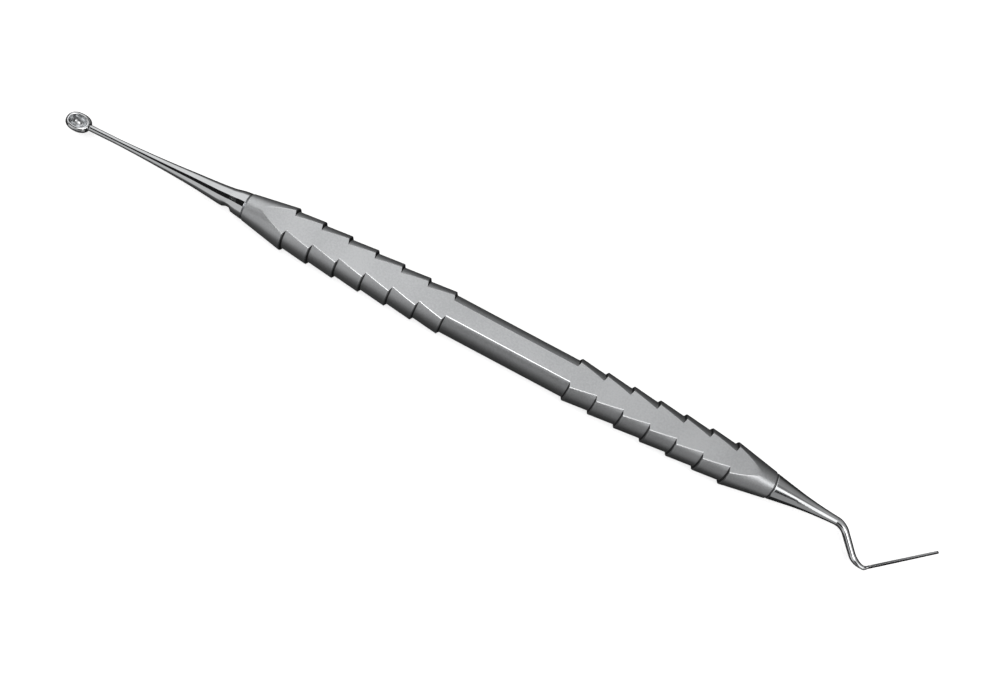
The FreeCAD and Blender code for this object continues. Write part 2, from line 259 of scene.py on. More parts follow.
SATIN_BLASTED = Steel(
    slot=Slot.SATIN,
    pale=(0.65, 0.66, 0.67),
    dark=(0.55, 0.56, 0.57),
    # Painted highlight: a paler tone on the handle's crests and flat edges.
    painted_light_tone=(0.9, 0.91, 0.92),
    # Painted shade on the handle's steps and at the blade's joint.
    painted_shade_tone=(0.1, 0.1, 0.1),
    roughness=0.37,
    roughness_swing=0.12,
    rubbed_roughness=0.24,
    grain_scale=3000.0,
    grain_stretch=(1.0, 1.0, 1.0),
    cloud_scale=90.0,
    bump_height=4e-6,
)
MIRROR_POLISHED = Steel(
    slot=Slot.POLISHED,
    pale=(0.74, 0.75, 0.76),
    dark=(0.68, 0.69, 0.70),
    # Painted shade: a darker tone inside the spoon's bowl.
    painted_light_tone=(0.60, 0.61, 0.62),
    painted_shade_tone=(0.1, 0.1, 0.1),
    roughness=0.08,
    roughness_swing=0.04,
    rubbed_roughness=0.22,
    grain_scale=5000.0,
    grain_stretch=(0.08, 1.0, 1.0),
    cloud_scale=300.0,
    bump_height=4e-7,
)


def rounded_line(
    corners: np.ndarray, radii: np.ndarray, arc_steps: int, shares: tuple[float, ...]
) -> np.ndarray:
    """Polyline with each corner turned into an arc, sampled along arcs and straights.

    A corner P between unit directions u and w that turn by T is left at P - u t and joined at
    P + w t, where t = r tan(T / 2). With n the side towards which it turns, the arc's points
    are P - u t + u r sin(a) + n r (1 - cos(a)) for a from 0 to T.

    Args:
        corners: points in one or more lines, shape (lines, points, 2).
        radii: radius of each corner but the first and last, shape (points - 2,) or (lines, points - 2).
        arc_steps: steps along each arc.
        shares: shares of each straight at which it gets points between its two ends.

    Returns:
        Points of shape (lines, count, 2), from the first corner to the last.
    """
    before, corner, after = corners[:, :-2], corners[:, 1:-1], corners[:, 2:]
    incoming = corner - before
    incoming /= np.linalg.norm(incoming, axis=2, keepdims=True)
    outgoing = after - corner
    outgoing /= np.linalg.norm(outgoing, axis=2, keepdims=True)
    cosine = np.clip((incoming * outgoing).sum(axis=2), -1, 1)
    turn = np.maximum(np.arccos(cosine), LEAST_TURN)
    aside = (outgoing - incoming * np.cos(turn)[..., None]) / np.sin(turn)[..., None]
    reach = radii * np.tan(turn / 2)
    angle = turn[..., None] * np.linspace(0, 1, arc_steps + 1)
    radius = np.broadcast_to(radii, turn.shape)[..., None]
    forward = (radius * np.sin(angle) - reach[..., None])[..., None]
    sideways = (radius * (1 - np.cos(angle)))[..., None]
    arcs = corner[:, :, None] + incoming[:, :, None] * forward + aside[:, :, None] * sideways
    starts = np.concatenate([corners[:, :1], arcs[:, :, -1]], axis=1)
    ends = np.concatenate([arcs[:, :, 0], corners[:, -1:]], axis=1)
    share = np.array(shares)[:, None]
    straights = starts[:, :, None] + (ends - starts)[:, :, None] * share
    body = np.concatenate([straights[:, :-1], arcs], axis=2)
    body = body.reshape(len(corners), -1, 2)
    return np.concatenate([corners[:, :1], body, straights[:, -1], corners[:, -1:]], axis=1)


def columns(*parts: np.ndarray) -> np.ndarray:
    """Arrays of one shape put side by side along a new last axis."""
    return np.stack(parts, axis=-1)


def hollow_taper(
    start: float, run: float, radii: tuple[float, float], sag: float, share: np.ndarray
) -> np.ndarray:
    """Profile of a hollow taper, whose radius is 4 s t (1 - t) below a straight line's at share t.

    Args:
        start: distance at which it starts.
        run: its length.
        radii: radius at its start and at its end.
        sag: s, how much its middle is hollowed.
        share: shares of its length at which it gets points.

    Returns:
        Points (distance, radius), shape (count, 2).
    """
    first, last = radii
    return columns(start + run * share, first + (last - first) * share - 4 * sag * share * (1 - share))


def eased(place: np.ndarray, knots: Sequence[float], values: Sequence[float]) -> np.ndarray:
    """Value at each place, which goes from knot to knot along 3 t^2 - 2 t^3."""
    spot = np.interp(place, knots, np.arange(len(knots)))
    lower = np.minimum(spot.astype(int), len(knots) - 2)
    share = spot - lower
    share = share * share * (3 - 2 * share)
    level = np.array(values)
    return level[lower] + (level[lower + 1] - level[lower]) * share


@dataclass
class Skin:
    """A closed surface made of rings of points, with a single point at each end.

    The last field holds, for each point of each ring, its rubbing with a painted tone, up to 1, or painted
    shade, down to -1.
    """

    rings: np.ndarray
    first_pole: np.ndarray
    last_pole: np.ndarray
    wear_and_painted_light: np.ndarray | None = None

    def points(self) -> np.ndarray:
        """All points, the rings first and then the two poles."""
        return np.concatenate([self.rings.reshape(-1, 3), self.first_pole[None], self.last_pole[None]])

    def wear_and_painted_light_values(self) -> np.ndarray:
        """Value of the last field at each point, in the same order: rubbing and painted tone above 0,
        painted shade below 0.
        """
        rubbed_and_painted = np.zeros(self.rings.shape[:2]) if self.wear_and_painted_light is None else self.wear_and_painted_light
        return np.concatenate([rubbed_and_painted.reshape(-1), rubbed_and_painted[:1, 0], rubbed_and_painted[-1:, 0]])

    def faces(self) -> tuple[np.ndarray, np.ndarray]:
        """Joins each ring to the next by quads and each end ring to its pole by triangles.

        Returns:
            The quads and the triangles, which all face outwards.
        """
        rows, around, _ = self.rings.shape
        index = np.arange(rows * around).reshape(rows, around)
        turned = np.roll(index, -1, axis=1)
        quads = columns(index[:-1], turned[:-1], turned[1:], index[1:]).reshape(-1, 4)
        first, last = rows * around, rows * around + 1
        opening = columns(np.full(around, first), turned[0], index[0])
        closing = columns(np.full(around, last), index[-1], turned[-1])
        return quads, np.concatenate([opening, closing])


def mesh_of(skins: list[Skin], name: str) -> bpy.types.Mesh:
    """One smooth mesh in metres that holds several closed skins.

    Args:
        skins: the skins, in millimetres.
        name: name of the mesh.

    Returns:
        The mesh, with its points' rubbing, painted highlight and painted shade in an attribute.
    """
    faces = []
    shift = 0
    for skin in skins:
        for group in skin.faces():
            faces += (group + shift).tolist()
        shift += len(skin.points())
    made = bpy.data.meshes.new(name)
    made.from_pydata((np.concatenate([skin.points() for skin in skins]) * MM).tolist(), [], faces)
    made.polygons.foreach_set("use_smooth", np.ones(len(faces), dtype=bool))
    rubbed_and_painted = made.attributes.new(WEAR_AND_PAINTED_LIGHT, "FLOAT", "POINT")
    rubbed_and_painted.data.foreach_set("value", np.concatenate([skin.wear_and_painted_light_values() for skin in skins]))
    made.update()
    return made


def carried(places: np.ndarray, headings: np.ndarray, sections: np.ndarray) -> np.ndarray:
    """Rings of a section carried along a path in the plane of the handle's axis.

    Each section point (a, b) goes to place + a N + b Z, where N = (-sin h, cos h, 0) stands
    square to the heading h and Z is upright.

    Args:
        places: middle of each ring, shape (rings, 3).
        headings: direction of the path at each ring, in radians from X.
        sections: shape (rings, points, 2).

    Returns:
        Rings of shape (rings, points, 3).
    """
    aside = columns(-np.sin(headings), np.cos(headings), np.zeros_like(headings))
    upright = np.array([0.0, 0.0, 1.0])
    return places[:, None] + sections[..., :1] * aside[:, None] + sections[..., 1:] * upright


@dataclass
class Piece:
    """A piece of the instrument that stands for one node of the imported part."""

    node: str
    finish: Steel
    axis_height: float

    def skins(self) -> list[Skin]:
        """Closed surfaces of the piece, in millimetres."""
        raise NotImplementedError

    def build(self) -> None:
        """Makes the piece's object at the origin, with its place in its mesh, and fits it into the frame."""
        made = bpy.data.objects.new(f"{self.node}_surface", mesh_of(self.skins(), self.node))
        bpy.context.scene.collection.objects.link(made)
        made.data.materials.append(self.finish.material())
        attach(made, "root")
        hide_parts(self.node)
        log.info("%s: %d faces", made.name, len(made.data.polygons))


@dataclass
class Handle(Piece):
    """Turned handle with a saw-tooth grip at each end and two flats."""

    half_length: float = 51.1
    crest_radius: float = 4.05
    root_radius: float = 3.52
    barrel_radius: float = 3.56
    end_radius: float = 2.56
    first_crest: float = 12.24
    tooth_pitch: float = 5.1
    tooth_count: int = 6
    step_run: float = 0.34
    crest_round: float = 0.1
    root_round: float = 0.06
    end_break: float = 0.24
    end_round: float = 0.05
    flat_round: float = 0.28
    bore_radius: float = 1.52
    bore_depth: float = 14.02
    drill_point: float = 0.9
    arc_steps: int = 6
    straight_shares: tuple[float, ...] = (0.012, 0.06, 0.2, 0.4, 0.6, 0.8, 0.94, 0.988)
    side_shares: tuple[float, ...] = (0, 0.1, 0.2, 0.3, 0.4, 0.5, 0.6, 0.7, 0.8, 0.88, 0.94, 0.98)
    edge_shares: tuple[float, ...] = (0, 0.2, 0.4, 0.6, 0.8)
    flat_shares: tuple[float, ...] = (0, 0.03, 0.12, 0.4, 0.7, 1)
    steepest_side: float = np.radians(78)
    steepest_edge: float = np.radians(84)
    # Painted highlight on the crests, with a lower roughness.
    crest_rub_and_highlight: float = 0.8
    crest_highlight_reach: float = 0.16
    # Painted highlight along the flats' edges, with a lower roughness.
    edge_rub_and_highlight: float = 1.2
    edge_highlight_fall: float = 1.6
    least_edge: float = 0.01
    least_width: float = 0.001
    # Painted shade on the steps of the teeth and on the end at the blade's joint.
    step_painted_shade: float = 0.85
    painted_shade_start: float = 0.1

    def outline(self) -> np.ndarray:
        """Profile from the bottom of the left bore over the outside to the bottom of the right one.

        Returns:
            Points (x, radius), shape (count, 2).
        """
        crests = self.first_crest + self.tooth_pitch * np.arange(self.tooth_count + 1)
        feet = columns(crests - self.step_run, np.full_like(crests, self.root_radius))
        feet[0, 1] = self.barrel_radius
        peaks = columns(crests, np.full_like(crests, self.crest_radius))
        teeth = np.stack([feet, peaks], axis=1).reshape(-1, 2)
        end = self.half_length
        bottom = end - self.bore_depth
        close = np.array([
            (end - self.end_break, self.end_radius),
            (end, self.end_radius - self.end_break),
            (end, self.bore_radius),
            (bottom, self.bore_radius),
        ])
        tip = np.array([(bottom - self.drill_point, 0.0)])
        right = np.concatenate([teeth, close])
        radii = np.concatenate([
            np.tile([self.root_round, self.crest_round], len(crests)),
            np.full(len(close), self.end_round),
        ])
        mirror = np.array([-1.0, 1.0])
        corners = np.concatenate([tip * mirror, right[::-1] * mirror, right, tip])
        radii = np.concatenate([radii[::-1], radii])
        return rounded_line(corners[None], radii, self.arc_steps, self.straight_shares)[0]

    def crest_rub_and_painted_light(self, spots: np.ndarray) -> np.ndarray:
        """Rubbing and painted light of each ring's round side.

        It is a painted highlight with a lower roughness at each crest, which falls in a straight line from
        it, and it is below 0, for painted shade, on the steps and in the blade's joint.

        Args:
            spots: place of each ring along the handle.

        Returns:
            The value, shape (rings,).
        """
        crests = self.first_crest + self.tooth_pitch * np.arange(self.tooth_count + 1)
        below = crests - np.abs(spots)[:, None]
        nearest = np.abs(below).min(axis=1)
        rub_and_painted_light_share = self.crest_rub_and_highlight * np.clip(1 - nearest / self.crest_highlight_reach, 0, 1)
        # Painted shade on the steps of the teeth and on the end at the blade's joint.
        on_step = ((below > self.painted_shade_start) & (below < self.step_run)).any(axis=1)
        on_end = spots > self.half_length - self.end_break
        return np.where(on_step | on_end, -self.step_painted_shade, rub_and_painted_light_share)

    def sections(self, radii: np.ndarray, crest_rub_and_painted_light: np.ndarray) -> tuple[np.ndarray, np.ndarray]:
        """Circle cut by two flats, with rounded edges, for each radius.

        In polar form the section is R on the round side. On the edge, an arc of radius r about
        a centre at distance c = R - r and direction g, it is c cos(t - g) + sqrt(r^2 - c^2
        sin^2(t - g)), and on the flat it is h / sin(t). The samples follow the two borders.
        The ring's rubbing and painted light is its own on the round side and falls off over the edge. The
        edge has a painted highlight of its own, with a lower roughness, strongest in its middle, which the
        painted shade covers.

        Args:
            radii: R of each ring.
            crest_rub_and_painted_light: rubbing and painted light of each ring's round side, which ends at
                the flats.

        Returns:
            Sections of shape (rings, points, 2), and the rubbing and painted light of their points.
        """
        height, edge = self.axis_height, self.flat_round
        radius = radii[:, None]
        centre_up = height - edge
        reach = np.maximum(radius - edge, TINY)
        has_flat = radius > height
        centre_angle = np.where(has_flat, np.arcsin(np.clip(centre_up / reach, 0, 1)), np.pi / 2)
        flat_angle = np.where(has_flat, np.arctan2(height, reach * np.cos(centre_angle)), np.pi / 2)
        side_end = np.minimum(centre_angle, self.steepest_side)
        edge_end = np.minimum(flat_angle, self.steepest_edge)
        edge_end = np.maximum(edge_end, side_end + self.least_edge)
        side = side_end * np.array(self.side_shares)
        rim = side_end + (edge_end - side_end) * np.array(self.edge_shares)
        top = edge_end + (np.pi / 2 - edge_end) * np.array(self.flat_shares)
        quarter = np.concatenate([side, rim, top], axis=1)
        swing = quarter - centre_angle
        inside = np.maximum(edge**2 - (reach * np.sin(swing)) ** 2, 0)
        on_edge = reach * np.cos(swing) + np.sqrt(inside)
        on_flat = height / np.maximum(np.sin(quarter), TINY)
        cut = np.where(quarter < flat_angle, on_edge, on_flat)
        distance = np.where(has_flat & (quarter >= centre_angle), cut, radius)
        across, up = distance * np.cos(quarter), distance * np.sin(quarter)
        place = (quarter - centre_angle) / np.maximum(flat_angle - centre_angle, self.least_width)
        # Painted highlight along each flat's edge, with a lower roughness.
        rub_and_painted_light_share = self.edge_rub_and_highlight - np.abs(place - 0.5) * self.edge_highlight_fall
        rubbed_and_painted = np.where(has_flat, np.clip(rub_and_painted_light_share, 0, 1), 0.0)
        turned = np.where(has_flat, np.clip(1 - place, 0, 1), 1.0) * crest_rub_and_painted_light[:, None]
        mixed = np.where(crest_rub_and_painted_light[:, None] < 0, turned, np.maximum(rubbed_and_painted, turned))
        right_top = columns(across, up, mixed)
        left_top = right_top[:, ::-1][:, 1:] * np.array([-1.0, 1.0, 1.0])
        upper = np.concatenate([right_top, left_top], axis=1)
        lower = upper[:, 1:-1] * np.array([-1.0, -1.0, 1.0])
        whole = np.concatenate([upper, lower], axis=1)
        return whole[..., :2], whole[..., 2]

    def skins(self) -> list[Skin]:
        """The outline carried round the axis, cut by the flats."""
        outline = self.outline()
        spots, radii = outline[1:-1, 0], outline[1:-1, 1]
        places = columns(spots, np.zeros_like(spots), np.full_like(spots, self.axis_height))
        sections, wear_and_painted_light = self.sections(radii, self.crest_rub_and_painted_light(spots))
        rings = carried(places, np.zeros_like(spots), sections)
        poles = [np.array([spot, 0.0, self.axis_height]) for spot in (outline[0, 0], outline[-1, 0])]
        return [Skin(rings, *poles, wear_and_painted_light)]


@dataclass
class Shank(Piece):
    """What both working ends share: a tang in the handle and a rod beyond it that follows a path."""

    side: float = 1.0
    half_length: float = 51.1
    tang_radius: float = 1.5
    tang_length: float = 14.0
    tang_break: float = 0.12
    ring_points: int = 72
    arc_steps: int = 5
    straight_shares: tuple[float, ...] = (0.02, 0.1, 0.3, 0.5, 0.7, 0.9, 0.98)
    path_step: float = 0.002

    def course(self) -> tuple[np.ndarray, np.ndarray]:
        """Distances from the handle's middle at which the path's turning changes, and its turn at each."""
        raise NotImplementedError

    def path(self, distance: np.ndarray) -> tuple[np.ndarray, np.ndarray]:
        """Place and heading at each distance.

        The turn is straight-line between the knots, so each bend is an arc, and the place is
        the running sum of its cosine and sine.

        Args:
            distance: distances along the path, counted from the handle's middle.

        Returns:
            Places of shape (count, 3), and headings in radians from X.
        """
        knots, turns = self.course()
        fine = np.arange(knots[0], knots[-1] + self.path_step, self.path_step)
        course = np.interp(fine, knots, turns)
        middle = (course[1:] + course[:-1]) / 2
        along = knots[0] + np.concatenate([[0.0], np.cumsum(np.cos(middle))]) * self.path_step
        aside = np.concatenate([[0.0], np.cumsum(np.sin(middle))]) * self.path_step
        spots = np.where(distance < knots[0], distance, np.interp(distance, fine, along))
        places = columns(
            self.side * spots,
            self.side * np.interp(distance, fine, aside),
            np.full_like(distance, self.axis_height),
        )
        return places, np.interp(distance, knots, turns) + (1 - self.side) * np.pi / 2

    def tang(self) -> np.ndarray:
        """Corners (distance from the handle's middle, radius) from the tang's pole to its seat."""
        start = self.half_length - self.tang_length
        return np.array([
            (start, 0.0),
            (start, self.tang_radius - self.tang_break),
            (start + self.tang_break, self.tang_radius),
            (self.half_length, self.tang_radius),
        ])


@dataclass
class SpoonEnd(Shank):
    """Polished shank with a small hollow spoon."""

    side: float = -1.0
    collar_radius: float = 2.46
    collar_break: float = 0.1
    collar_land: float = 1.5
    collar_land_radius: float = 2.27
    collar_run: float = 3.1
    collar_foot_radius: float = 1.93
    shoulder_run: float = 4.5
    shoulder_radius: float = 1.8
    taper_run: float = 24.9
    taper_sag: float = 0.2
    taper_points: int = 24
    taper_round: float = 0.5
    corner_rounds: tuple[float, ...] = (0.03, 0.03, 0.02, 0.03, 0.05, 4.0, 3.0, 4.0)
    rod_radius: float = 0.56
    dip_run: float = 0.55
    dip_depth: float = 0.31
    dip_power: float = 1.5
    dip_points: int = 9
    rod_end_round: float = 0.12
    lean_turn: float = 0.04
    lean_ends: tuple[float, float, float, float] = (0.3, 1.2, 4.4, 5.6)
    rest_turn: float = 0.0075
    set_turn: float = 0.0288
    set_ends: tuple[float, float] = (9.0, 11.0)
    nick_depth: float = 0.4
    nick_ends: tuple[float, ...] = (2.3, 2.8, 3.3, 4.3)
    nick_levels: tuple[float, ...] = (0.0, 1.0, 0.9, 0.0)
    nick_round: tuple[float, ...] = (-80.0, -45.0, 10.0, 38.0)
    reach: float = 32.55
    bowl_length: float = 4.48
    bowl_width: float = 3.5
    bowl_depth: float = 1.85
    bowl_wall: float = 0.34
    bowl_lift: float = 0.3
    bowl_shift: float = 0.12
    bowl_fullness: float = 0.87
    bulge_height: float = 0.62
    bulge_inset: float = 0.4
    bulge_share: float = 0.6
    rim_width: float = 0.24
    rim_break: float = 0.02
    hollow_foot: float = 0.05
    # Painted shade inside the bowl, which is also rougher there.
    hollow_painted_shade: float = 1.0
    bowl_points: int = 144
    wall_steps: int = 40
    lip_steps: int = 8

    def outline(self) -> np.ndarray:
        """Profile (distance from the handle's middle, radius) of tang, collar, taper and rod."""
        seat = self.half_length
        start, run = seat + self.shoulder_run, self.taper_run - self.shoulder_run
        share = np.linspace(0, 1, self.taper_points)[1:-1]
        taper = hollow_taper(start, run, (self.shoulder_radius, self.rod_radius), self.taper_sag, share)
        tip = seat + self.reach - self.bowl_length / 2 + self.bowl_wall
        dip = np.linspace(0, 1, self.dip_points)
        neck = columns(
            tip - self.dip_run * (1 - dip),
            self.rod_radius - self.dip_depth * dip**self.dip_power,
        )
        corners = np.concatenate([
            self.tang(),
            [
                (seat, self.collar_radius - self.collar_break),
                (seat + self.collar_break, self.collar_radius),
                (seat + self.collar_land, self.collar_land_radius),
                (seat + self.collar_run, self.collar_foot_radius),
                (start, self.shoulder_radius),
            ],
            taper,
            [(seat + self.taper_run, self.rod_radius)],
            neck,
            [(tip, 0.0)],
        ])
        radii = np.full(len(corners) - 2, self.taper_round)
        radii[:len(self.corner_rounds)] = self.corner_rounds
        radii[-1] = self.rod_end_round
        return rounded_line(corners[None], radii, self.arc_steps, self.straight_shares)[0]

    def course(self) -> tuple[np.ndarray, np.ndarray]:
        """The shank leans aside at its collar, runs on beside the handle's line and is then set off it."""
        knots = [*self.lean_ends, *self.set_ends, self.reach + self.bowl_length]
        lean, rest, turn = self.lean_turn, self.rest_turn, self.set_turn
        return self.half_length + np.array(knots), np.array([0.0, lean, lean, rest, rest, turn, turn])

    def nick(self, distance: np.ndarray, angles: np.ndarray) -> np.ndarray:
        """Depth of the nick in the collar's foot, a product of a rise and fall along and one around."""
        along = eased(distance - self.half_length, self.nick_ends, self.nick_levels)
        turned = np.degrees((angles + np.pi) % TURN - np.pi)
        around = eased(turned, self.nick_round, (0.0, 1.0, 1.0, 0.0))
        return self.nick_depth * along[:, None] * around

    def rod(self) -> Skin:
        """The outline turned round its own line, less the nick."""
        outline = self.outline()
        places, headings = self.path(outline[:, 0])
        angles = np.linspace(0, TURN, self.ring_points, endpoint=False)
        circle = columns(np.cos(angles), np.sin(angles))
        radii = outline[1:-1, 1, None] - self.nick(outline[1:-1, 0], angles)
        rings = carried(places[1:-1], headings[1:-1], radii[..., None] * circle)
        return Skin(rings, places[0], places[-1])

    def bowl(self) -> Skin:
        """Hollow half-egg whose side bulges below a narrow flat rim.

        Every level ring is a fuller ellipse with half axes length / 2 and width / 2, both less
        by an inset and then times a share. Outside below the widest level they go with the
        cosine and sine of one slope, above it the inset follows a circle's arc up to the rim,
        and the inside is again a cosine and sine with the rim's inset.

        Returns:
            The skin, darker inside by painted shade and rougher there.
        """
        slopes = np.linspace(np.pi / 2, 0, self.wall_steps + 1)[1:-1]
        below = self.bowl_depth - self.bulge_height
        arc = np.linspace(0, 1, self.lip_steps + 1)
        rise = 1 - np.sqrt(1 - (arc * self.bulge_share) ** 2)
        outer = columns(
            np.zeros_like(slopes),
            np.cos(slopes),
            -self.bulge_height - below * np.sin(slopes),
        )
        bulge = columns(
            self.bulge_inset * rise / rise[-1],
            np.ones_like(arc),
            self.bulge_height * (arc - 1),
        )
        inset = self.bulge_inset + self.rim_width
        rim = np.array([[inset, 1.0, 0.0], [inset + self.rim_break, 1.0, -self.rim_break]])
        depth = self.bowl_depth - self.bowl_wall
        back = slopes[::-1]
        back = back[np.sin(back) * depth > self.hollow_foot]
        inner = columns(np.full_like(back, inset + self.rim_break), np.cos(back), -depth * np.sin(back))
        profile = np.concatenate([outer, bulge, rim, inner])
        angles = np.linspace(0, TURN, self.bowl_points, endpoint=False)
        halves = np.array([self.bowl_length / 2, self.bowl_width / 2])
        spread = (halves - profile[:, :1]) * profile[:, 1:2]
        corners = columns(np.cos(angles), np.sin(angles))
        ellipse = spread[:, None] * np.sign(corners) * np.abs(corners) ** self.bowl_fullness
        middle, _ = self.path(np.array([self.half_length + self.reach]))
        middle = middle[0] + np.array([0.0, self.bowl_shift, self.bowl_lift])
        turn = self.set_turn
        turned = ellipse @ np.array([[np.cos(turn), np.sin(turn)], [-np.sin(turn), np.cos(turn)]])
        levels = np.broadcast_to(profile[:, None, 2:], (*turned.shape[:2], 1))
        rings = middle + np.concatenate([turned, levels], axis=-1)
        poles = [middle - np.array([0.0, 0.0, drop]) for drop in (self.bowl_depth, depth)]
        wear_and_painted_light = np.zeros(rings.shape[:2])
        # Painted shade inside the bowl.
        wear_and_painted_light[-len(inner):] = self.hollow_painted_shade
        return Skin(rings, *poles, wear_and_painted_light)

    def skins(self) -> list[Skin]:
        """Rod and bowl, which meet inside the bowl's wall."""
        return [self.rod(), self.bowl()]


@dataclass
class BladeEnd(Shank):
    """Polished shank with a double bend and a thin bevelled blade."""

    collar_radius: float = 2.41
    collar_break: float = 0.2
    cone_run: float = 4.9
    cone_foot_radius: float = 1.6
    taper_run: float = 12.7
    taper_sag: float = 0.1
    taper_points: int = 12
    taper_round: float = 1.0
    corner_rounds: tuple[float, ...] = (0.03, 0.03, 0.02, 0.05, 0.15)
    lean_start: float = 4.0
    lean_run: float = 1.0
    lean_turn: float = -0.009
    bend_radius: float = 3.0
    bend_angle: float = np.radians(51.3)
    rod_radius: float = 0.79
    slope_radius: float = 0.66
    slope_run: float = 3.65
    heel_radius: float = 3.3
    heel_rod_radius: float = 0.62
    heel_run: float = 0.26
    corner_bend: float = 0.5
    corner_radius: float = 0.4
    blade_angle: float = np.radians(38.4)
    blade_length: float = 14.3
    root_width: float = 1.5
    belly: float = 3.0
    belly_width: float = 1.7
    tip_width: float = 1.3
    thickness: float = 0.54
    tip_thickness: float = 0.5
    bevel: float = 0.19
    bevel_limit: float = 0.6
    edge_round: float = 0.01
    slope_settle: float = 0.6
    heel_settle: float = 0.8
    root_settle: float = 0.5
    flat_run: float = 1.0
    tip_round: float = 0.62
    tip_curve: float = 0.86
    tip_share: float = 0.3
    bend_step: float = 0.1
    corner_step: float = 0.04
    corner_ends: tuple[float, float] = (0.3, 1.2)
    blade_step: float = 0.2
    tip_rings: int = 24
    tip_power: float = 1.5
    section_shares: tuple[float, ...] = (0.03, 0.15, 0.32, 0.5, 0.68, 0.85, 0.97)

    def shank(self) -> np.ndarray:
        """Profile (distance, radius) of tang, cone and hollow taper, up to the bend."""
        seat = self.half_length
        start, run = seat + self.cone_run, self.taper_run - self.cone_run
        share = np.linspace(0, 1, self.taper_points)[1:]
        taper = hollow_taper(start, run, (self.cone_foot_radius, self.rod_radius), self.taper_sag, share)
        corners = np.concatenate([
            self.tang(),
            [
                (seat, self.collar_radius - self.collar_break),
                (seat + self.collar_break, self.collar_radius),
                (start, self.cone_foot_radius),
            ],
            taper,
        ])
        radii = np.full(len(corners) - 2, self.taper_round)
        radii[:len(self.corner_rounds)] = self.corner_rounds
        return rounded_line(corners[None], radii, self.arc_steps, self.straight_shares)[0]

    def knots(self) -> np.ndarray:
        """Distances at which the bend, slope, heel, heel's run, corner and blade start, and its tip."""
        shortened = self.corner_bend * np.tan(self.blade_angle / 2)
        runs = [
            self.bend_radius * self.bend_angle,
            self.slope_run,
            self.heel_radius * self.bend_angle,
            self.heel_run - shortened,
            self.corner_bend * self.blade_angle,
            self.blade_length - shortened,
        ]
        return self.half_length + self.taper_run + np.concatenate([[0.0], np.cumsum(runs)])

    def course(self) -> tuple[np.ndarray, np.ndarray]:
        """Slight lean, first bend, slope, heel and the corner into the blade."""
        down, lean = -self.bend_angle, self.lean_turn
        start = self.half_length + self.lean_start
        turns = [0.0, lean, lean, down, down, 0.0, 0.0, self.blade_angle, self.blade_angle]
        return np.concatenate([[start, start + self.lean_run], self.knots()]), np.array(turns)

    def round_unit(self) -> np.ndarray:
        """Points of a circle of radius 1, in the directions of a regular hexagon's points."""
        unit = self.hexagons(np.array([np.cos(np.pi / 6)]), np.array([1.0]), 0.5)[0]
        return unit / np.linalg.norm(unit, axis=-1, keepdims=True)

    def bladed_sections(self, distance: np.ndarray) -> np.ndarray:
        """Sections beyond the bend, which go from a circle to a bevelled six-sided blade.

        At the tip the half width follows a round end of its own radius, and the thickness falls
        in line with the bevel.

        Args:
            distance: distance of each section along the path.

        Returns:
            Sections of shape (count, points, 2).
        """
        start, slope, heel, _, corner, root, end = self.knots()
        rod = [self.rod_radius, self.slope_radius, self.heel_rod_radius, self.corner_radius]
        spots = [start, slope + self.slope_settle, heel + self.heel_settle, corner]
        half_across = eased(
            distance,
            [*spots, root + self.root_settle, root + self.belly, end],
            [*rod, self.thickness / 2, self.thickness / 2, self.tip_thickness / 2],
        )
        half_width = eased(
            distance,
            [*spots, root, root + self.belly, end],
            [*rod, self.root_width / 2, self.belly_width / 2, self.tip_width / 2],
        )
        past = np.clip((distance - (end - self.tip_round)) / self.tip_round, 0, 1)
        half_width = half_width * np.sqrt(1 - self.tip_curve * past**2)
        left = np.clip((end - distance) / self.bevel, 0, 1)
        half_across = half_across * (self.tip_share + (1 - self.tip_share) * left)
        flatness = eased(distance, [start, corner, root + self.flat_run, end], [0.0, 0.0, 1.0, 1.0])
        hexagon = self.hexagons(half_across, half_width)
        round_rod = self.round_unit() * columns(half_across, half_width)[:, None]
        return round_rod + (hexagon - round_rod) * flatness[:, None, None]

    def hexagons(
        self, half_across: np.ndarray, half_width: np.ndarray, bevel: float | None = None
    ) -> np.ndarray:
        """Six-sided sections with slightly rounded corners.

        Args:
            half_across: half the distance between the two flats of each section.
            half_width: half the distance between its two edges.
            bevel: how far the edges stand out past the flats, if not the blade's own.

        Returns:
            Points (across, upright), shape (count, points, 2).
        """
        cut = np.minimum(self.bevel if bevel is None else bevel, half_width * self.bevel_limit)
        flat = half_width - cut
        zero = np.zeros_like(flat)
        corners = columns(
            columns(half_across, half_across, zero, -half_across, -half_across, zero),
            columns(-flat, flat, half_width, flat, -flat, -half_width),
        )
        middle = (corners[:, :1] + corners[:, 1:2]) / 2
        closed = np.concatenate([middle, corners[:, 1:], corners[:, :1], middle], axis=1)
        radii = np.full(closed.shape[1] - 2, self.edge_round)
        return rounded_line(closed, radii, self.arc_steps, self.section_shares)[:, :-1]

    def skins(self) -> list[Skin]:
        """One surface from the tang's end to the blade's tip."""
        shank = self.shank()
        start, _, _, _, corner, root, end = self.knots()
        turned = shank[1:-1, 1, None, None] * self.round_unit()
        before, after = corner - self.corner_ends[0], root + self.corner_ends[1]
        beyond = np.concatenate([
            np.arange(start, before, self.bend_step),
            np.arange(before, after, self.corner_step),
            np.arange(after, end - self.tip_round, self.blade_step),
            end - self.tip_round * np.linspace(1, 0, self.tip_rings) ** self.tip_power,
        ])
        distance = np.concatenate([shank[1:-1, 0], beyond])
        sections = np.concatenate([turned, self.bladed_sections(beyond)])
        places, headings = self.path(distance)
        rings = carried(places, headings, sections)
        poles, _ = self.path(np.array([shank[0, 0], end]))
        return [Skin(rings, *poles)]


